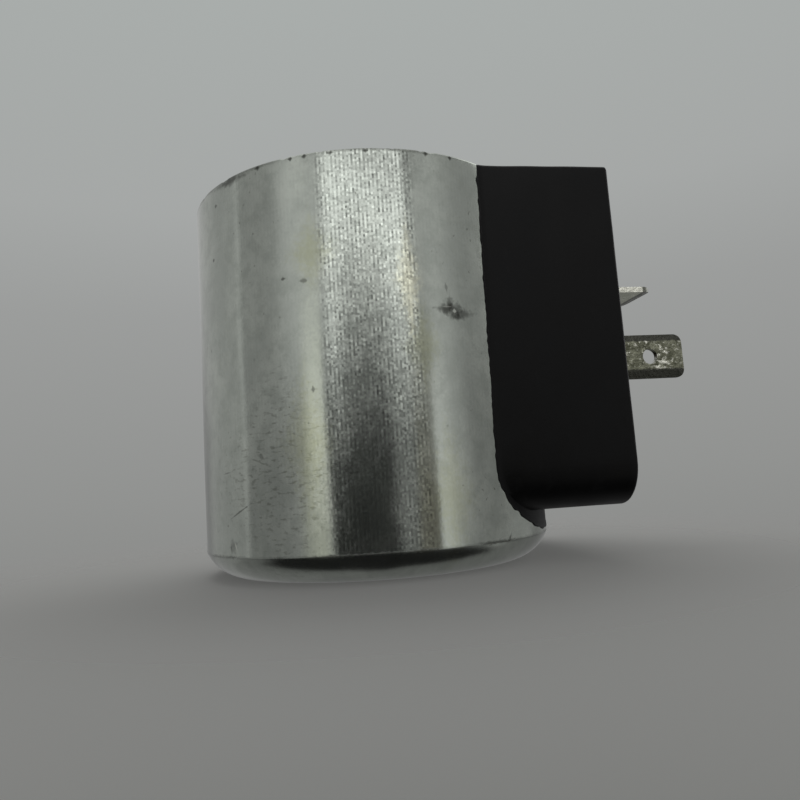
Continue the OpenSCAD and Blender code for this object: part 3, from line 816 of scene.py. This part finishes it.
def insertSkin(plan):
    # outside: two collars and a groove, turned about X; inside: a wall whose radius steps out along a helix
    length, groove, c = plan["mouth"] - plan["back"], plan["groove"], plan["chamfer"]
    third = length / 3
    outX = np.array([0, c, third, third + c, 2 * third - c, 2 * third, length - c, length])
    outR = plan["radius"] - np.array([c, 0, 0, groove, groove, 0, 0, c])
    inX = np.linspace(length - 0.02, 0.02, int(length / plan["pitch"] * plan["perTurn"]))
    turn = np.linspace(0, 2 * np.pi, plan["around"], endpoint=False)
    phase = inX[:, None] / plan["pitch"] + turn[None, :] / (2 * np.pi)
    tooth = np.abs(2 * (phase % 1) - 1)
    near = np.minimum(inX, length - inX)[:, None]
    inR = plan["core"] + np.maximum(plan["threadDepth"] * tooth, plan["sink"] - near)
    x = np.concatenate([outX, inX])[:, None] + 0 * turn
    r = np.vstack([outR[:, None] + 0 * turn, inR])
    return np.stack([plan["back"] + x, r * np.cos(turn), plugHeight + r * np.sin(turn)], -1)


def turnedBrass(plan):
    # brass with fine rings left by the tool, a little tarnished
    made, tree, place, shader = finish("turnedBrass", Metallic=1.0, Roughness=0.3)
    tarnish = grain(tree, place, 0.9, 4.0, 0.6)
    rings = grain(tree, stretched(tree, place, (7, 0.2, 0.2)), 1.0, 2.0)
    colour = blendColour(tree, fade(tree, tarnish, 0.35, 0.7), plan["clean"], plan["tarnished"])
    rough = fade(tree, tarnish, 0.3, 0.7, 0.24, 0.42)
    wire(tree, shader, Base_Color=colour, Roughness=rough, Normal=bumped(tree, rings, plan["rings"]))
    return made


def makeInsert(plan):
    skin = insertSkin(plan)
    piece = makePiece("screw_insert_threaded", skin.reshape(-1, 3), [gridQuads(*skin.shape[:2], True, True)])
    piece.data.materials.append(turnedBrass(plan))
    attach(piece, "root")
    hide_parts("screw_insert")
    print("insert made:", len(piece.data.polygons), "faces")


makeInsert(insert)

# End plate and its earth rivet: turned pieces with eased edges, the rivet's head sunk in the plate
plate = dict(outer=plateTop[1], bore=boreRadius, low=plateLow[2], top=plateTop[2], sink=0.04, outerEase=0.4,
             boreEase=0.5, ringDepth=0.0025, ringLengths=(0.35, 1.2), faceSteps=70, around=200, seed=41,
             grey=(0.40, 0.415, 0.385, 1), light=(0.52, 0.53, 0.49, 1), ring=(0.34, 0.35, 0.32, 1),
             speck=(0.16, 0.16, 0.135, 1), scrape=(0.66, 0.67, 0.62, 1), relief=0.016)
rivet = dict(place=(rivetLow[0] + rivetTop[0]) / 2, head=rivetTop[1], shank=1.5, low=rivetLow[2],
             top=rivetTop[2], headHeight=1.0, ease=0.15, dimple=1.1, dimpleDepth=0.18, room=0.02, rise=0.3,
             around=64)


def turned(profile, around, place=0.0):
    # a profile of radius and height carried round an upright axis
    turn = np.linspace(0, 2 * np.pi, around, endpoint=False)
    r, z = np.asarray(profile)[:, :1], np.asarray(profile)[:, 1:] + 0 * turn
    return roundAxis(r, turn, z) + (place, 0, 0)


def plateProfile(plan):
    # round the section: up the outside, over the eased edge, in across the face with faint tool rings and
    # down the bore
    top = plan["top"] - plan["sink"]
    face = np.linspace(plan["outer"] - plan["outerEase"], plan["bore"] + plan["boreEase"], plan["faceSteps"])
    rings = plan["ringDepth"] * (waves(plan["seed"], 12, plan["ringLengths"], face) - 1.5).clip(-3, 0)
    rings[[0, -1]] = 0
    outside = [(plan["outer"], plan["low"]), (plan["outer"], top - plan["outerEase"])]
    inside = [(plan["bore"], top - plan["boreEase"]), (plan["bore"], plan["low"])]
    return np.vstack([outside, np.stack([face, top + rings], -1), inside])


def rivetProfile(plan, room=0.0, rise=0.0):
    # flat head below, shank, countersunk head above; room widens it and rise lengthens it for its hole
    low, top, ease, dish = plan["low"], plan["top"], plan["ease"], plan["dimple"]
    head, shank = plan["head"] + room, plan["shank"] + room
    under, over = low + plan["headHeight"], top - plan["headHeight"]
    sunk = [(shank, under), (shank, over), (head, top - ease)]
    if rise:
        return [(0.2, low - rise), (shank, low - rise), *sunk, (head + ease, top + rise), (0.2, top + rise)]
    return [(0.2, low), (head - ease, low), (head, low + ease), (head, under), *sunk, (head - ease, top),
            (dish, top), (dish * 0.8, top - plan["dimpleDepth"] * 0.8), (0.2, top - plan["dimpleDepth"])]


def cutAway(piece, cutter):
    # takes the cutter's volume out of the piece and drops the cutter
    cut = piece.modifiers.new("cut", "BOOLEAN")
    cut.operation = "DIFFERENCE"
    cut.solver = "EXACT"
    cut.object = cutter
    bpy.context.view_layer.update()
    shaped = bpy.data.meshes.new_from_object(piece.evaluated_get(bpy.context.evaluated_depsgraph_get()))
    piece.modifiers.clear()
    piece.data = shaped
    bpy.data.objects.remove(cutter)


def turnedPlate(plan):
    # plated steel faced on a lathe: rings about the bore that stretch the gloss round it, faint stains and
    # handling marks
    made, tree, place, shader = finish("turnedPlate", Metallic=1.0, Roughness=0.3, Anisotropic=0.65)
    flat = vec(tree, "MULTIPLY", place, i1=(1, 1, 0))
    reach = vec(tree, "LENGTH", flat, out=1)
    around = vec(tree, "NORMALIZE", vec(tree, "CROSS_PRODUCT", (0, 0, 1), i1=flat))
    rings = add(tree, "TexNoise", props=dict(noise_dimensions="1D"), W=reach, Scale=6.0, Detail=4.0,
                Roughness=0.65)
    cloud = grain(tree, place, 0.22, 5.0, 0.6)
    speck = grain(tree, place, 1.6, 4.0, 0.65)
    scrape = grain(tree, stretched(tree, place, (0.35, 5.0, 1), turn=38), 1.0, 2.0)
    colour = blendColour(tree, fade(tree, cloud, 0.35, 0.68), plan["grey"], plan["light"])
    colour = blendColour(tree, fade(tree, rings, 0.35, 0.7, 0, 0.35), colour, plan["ring"])
    colour = blendColour(tree, fade(tree, speck, 0.62, 0.74, 0, 0.65), colour, plan["speck"])
    colour = blendColour(tree, fade(tree, scrape, 0.7, 0.78, 0, 0.5), colour, plan["scrape"])
    rough = fade(tree, cloud, 0.3, 0.7, 0.24, 0.36)
    wire(tree, shader, Base_Color=colour, Roughness=rough, Normal=bumped(tree, rings, plan["relief"]),
         Tangent=around)
    return made


def makePlate(plate, rivet):
    skin = turned(plateProfile(plate), plate["around"])
    disc = makePiece("end_plate_faced", skin.reshape(-1, 3), [gridQuads(*skin.shape[:2], True, True)])
    hole = rivetProfile(rivet, rivet["room"], rivet["rise"])
    cutAway(disc, cappedPiece("rivetHole", turned(hole, rivet["around"], rivet["place"])))
    stud = cappedPiece("earth_rivet_set", turned(rivetProfile(rivet), rivet["around"], rivet["place"]))
    metal = turnedPlate(plate)
    for piece, node in ((disc, "end_plate"), (stud, "earth_rivet")):
        piece.data.materials.clear()
        piece.data.materials.append(metal)
        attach(piece, "root")
        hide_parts(node)
    print("end plate made:", len(disc.data.polygons), "faces")


makePlate(plate, rivet)

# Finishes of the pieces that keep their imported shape, the tabs first
tabLow = np.array(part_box("line_tab_near")[0]) / mm
earthLow, earthHigh = (np.array(corner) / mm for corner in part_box("earth_tab"))
tabs = dict(
    bevel=1.15, tipBevel=1.6, sideRub=0.06, ragged=0.6, shift=0.2, lineHalf=plugHeight - tabLow[2],
    earthHalf=earthHigh[1], earthTip=earthHigh[0], earthAbove=earthLow[2] - 0.5,
    wornPlace=(41.0, 0, plugHeight - 1.3), wornReach=2.6, dents=0.18,
    face=(0.105, 0.108, 0.075, 1), faceWorn=(0.25, 0.255, 0.19, 1), earthFace=(0.74, 0.76, 0.63, 1),
    bright=(0.75, 0.75, 0.66, 1), dark=(0.055, 0.056, 0.047, 1), earthTipTone=(0.16, 0.165, 0.14, 1))


def dulledTin(plan):
    # tin over brass, gone olive: blotched faces worn bright in scratches; the line tabs' bevels are darker,
    # and the earth tab has a face painted pale as if lit, a painted highlight on its plain sides and painted
    # shade on its tip
    made, tree, place, shader = finish("dulledTin", Metallic=1.0, Roughness=0.4)
    x, y, z = split(tree, place)
    fromMid = calc(tree, "ABSOLUTE", less(tree, z, plugHeight + plan["shift"]))
    earth = calc(tree, "GREATER_THAN", z, plan["earthAbove"])
    fromEdge = add(tree, "Mix", i0=earth, i2=less(tree, plan["lineHalf"], fromMid),
                   i3=less(tree, plan["earthHalf"], calc(tree, "ABSOLUTE", y)))
    blotch = grain(tree, place, 0.9, 4.0, 0.65)
    flat = vec(tree, "MULTIPLY", place, i1=(1, 0, 1))
    away = vec(tree, "DISTANCE", flat, out=1, i1=plan["wornPlace"])
    wear = grain(tree, stretched(tree, place, (1, 1, 1.6), (3.1, 0, 1.7)), 1.3, 5.0, 0.7)
    wear = plus(tree, wear, fade(tree, away, plan["wornReach"], 0.3, 0, 0.08))
    dents = grain(tree, place, 1.5, 4.0, 0.6)
    rag = plus(tree, fromEdge, times(tree, less(tree, dents, 0.5), plan["ragged"]))
    colour = blendColour(tree, fade(tree, blotch, 0.35, 0.66), plan["face"], plan["faceWorn"])
    colour = blendColour(tree, fade(tree, wear, 0.55, 0.66), colour, plan["bright"])
    # the earth tab's face: the same tin painted far paler, painted light
    colour = blendColour(tree, times(tree, earth, 0.85), colour, plan["earthFace"])
    onBevel = fade(tree, rag, plan["bevel"] + 0.15, plan["bevel"] - 0.15)
    colour = blendColour(tree, times(tree, onBevel, less(tree, 1.0, earth)), colour, plan["dark"])
    # painted highlight along the earth tab's plain sides
    paintedSideHighlight = times(tree, earth, fade(tree, fromEdge, plan["sideRub"] * 2, plan["sideRub"]))
    colour = blendColour(tree, paintedSideHighlight, colour, plan["bright"])
    # painted shade over the earth tab's tip
    fromTip = less(tree, plan["earthTip"], x)
    atTip = times(tree, earth, fade(tree, fromTip, plan["tipBevel"] + 0.1, plan["tipBevel"] - 0.1))
    colour = blendColour(tree, atTip, colour, plan["earthTipTone"])
    rough = fade(tree, wear, 0.35, 0.7, 0.42, 0.22)
    wire(tree, shader, Base_Color=colour, Roughness=rough, Normal=bumped(tree, dents, plan["dents"]))
    return made


# Inside the resin: two tones and a relief in millimetres for each finish
nylon = dict(low=(0.014, 0.014, 0.015, 1), high=(0.022, 0.022, 0.023, 1), fleck=(0.06, 0.06, 0.058, 1),
             relief=0.01)
copper = dict(low=(0.50, 0.20, 0.075, 1), high=(0.68, 0.30, 0.12, 1), relief=0.06)
tape = dict(low=(0.62, 0.40, 0.06, 1), high=(0.76, 0.54, 0.11, 1), grime=(0.4, 0.26, 0.06, 1), relief=0.04)
sleeve = dict(low=(0.30, 0.022, 0.018, 1), high=(0.52, 0.05, 0.04, 1), relief=0.05)
solder = dict(low=(0.52, 0.53, 0.54, 1), high=(0.68, 0.69, 0.70, 1), relief=0.03)


def bobbinPlastic(plan):
    # glass-filled nylon: near black with pale fibre flecks
    made, tree, place, shader = finish("bobbinPlastic", Roughness=0.5)
    flecks = grain(tree, stretched(tree, place, (3, 3, 0.6)), 1.0, 3.0, 0.6)
    cloud = grain(tree, place, 0.3, 3.0)
    colour = blendColour(tree, cloud, plan["low"], plan["high"])
    colour = blendColour(tree, fade(tree, flecks, 0.62, 0.75, 0, 0.5), colour, plan["fleck"])
    rough = fade(tree, cloud, 0.3, 0.7, 0.42, 0.56)
    wire(tree, shader, Base_Color=colour, Roughness=rough, Normal=bumped(tree, flecks, plan["relief"]))
    return made


def enamelWire(plan):
    # lacquered copper, laid in turns a wire's width apart up the spool
    made, tree, place, shader = finish("enamelWire", Metallic=1.0, Roughness=0.25, Coat_Weight=0.6)
    turns = bands(tree, place, "Z", 1.0, 0.4)
    colour = blendColour(tree, grain(tree, place, 0.5, 3.0), plan["low"], plan["high"])
    wire(tree, shader, Base_Color=colour, Normal=bumped(tree, turns, plan["relief"]))
    return made


def windingTape(plan):
    # thin amber tape, its overlaps showing as darker bands
    made, tree, place, shader = finish("windingTape", Roughness=0.35)
    laps = bands(tree, place, "Z", 0.05, 1.0)
    grime = grain(tree, place, 0.4, 4.0)
    colour = blendColour(tree, laps, plan["low"], plan["high"])
    colour = blendColour(tree, fade(tree, grime, 0.5, 0.8, 0, 0.5), colour, plan["grime"])
    rough = fade(tree, grime, 0.3, 0.7, 0.28, 0.45)
    wire(tree, shader, Base_Color=colour, Roughness=rough, Normal=bumped(tree, laps, plan["relief"]))
    return made


def redSleeving(plan):
    # woven sleeving soaked in varnish
    made, tree, place, shader = finish("redSleeving", Roughness=0.55)
    weave = bands(tree, place, "DIAGONAL", 1.2, 0.6)
    colour = blendColour(tree, weave, plan["low"], plan["high"])
    rough = fade(tree, weave, 0, 1, 0.62, 0.48)
    wire(tree, shader, Base_Color=colour, Roughness=rough, Normal=bumped(tree, weave, plan["relief"]))
    return made


def coolSolder(plan):
    # solder set with a faint frost
    made, tree, place, shader = finish("coolSolder", Metallic=1.0, Roughness=0.3)
    frost = grain(tree, place, 3.0, 4.0)
    colour = blendColour(tree, frost, plan["low"], plan["high"])
    rough = fade(tree, frost, 0.3, 0.7, 0.22, 0.4)
    wire(tree, shader, Base_Color=colour, Roughness=rough, Normal=bumped(tree, frost, plan["relief"]))
    return made


finishes = [
    (dulledTin(tabs), ("line_tab_near", "line_tab_far", "earth_tab", "earth_strap")),
    (bobbinPlastic(nylon), ("bobbin", "terminal_carrier")),
    (enamelWire(copper), ("winding", "start_lead", "finish_lead")),
    (windingTape(tape), ("winding_tape", "crossover_insulator")),
    (redSleeving(sleeve), ("start_sleeve", "finish_sleeve")),
    (coolSolder(solder), ("solder_joints",)),
    (bpy.data.materials["zincPlate"], ("shell",)),
    (bpy.data.materials["blackResin"], ("moulding",)),
    (bpy.data.materials["turnedBrass"], ("screw_insert",)),
    (bpy.data.materials["turnedPlate"], ("end_plate", "earth_rivet")),
]
for made, names in finishes:
    for name in names:
        nodes[name].data.materials.clear()
        nodes[name].data.materials.append(made)
print("finishes given to", len(nodes), "nodes")
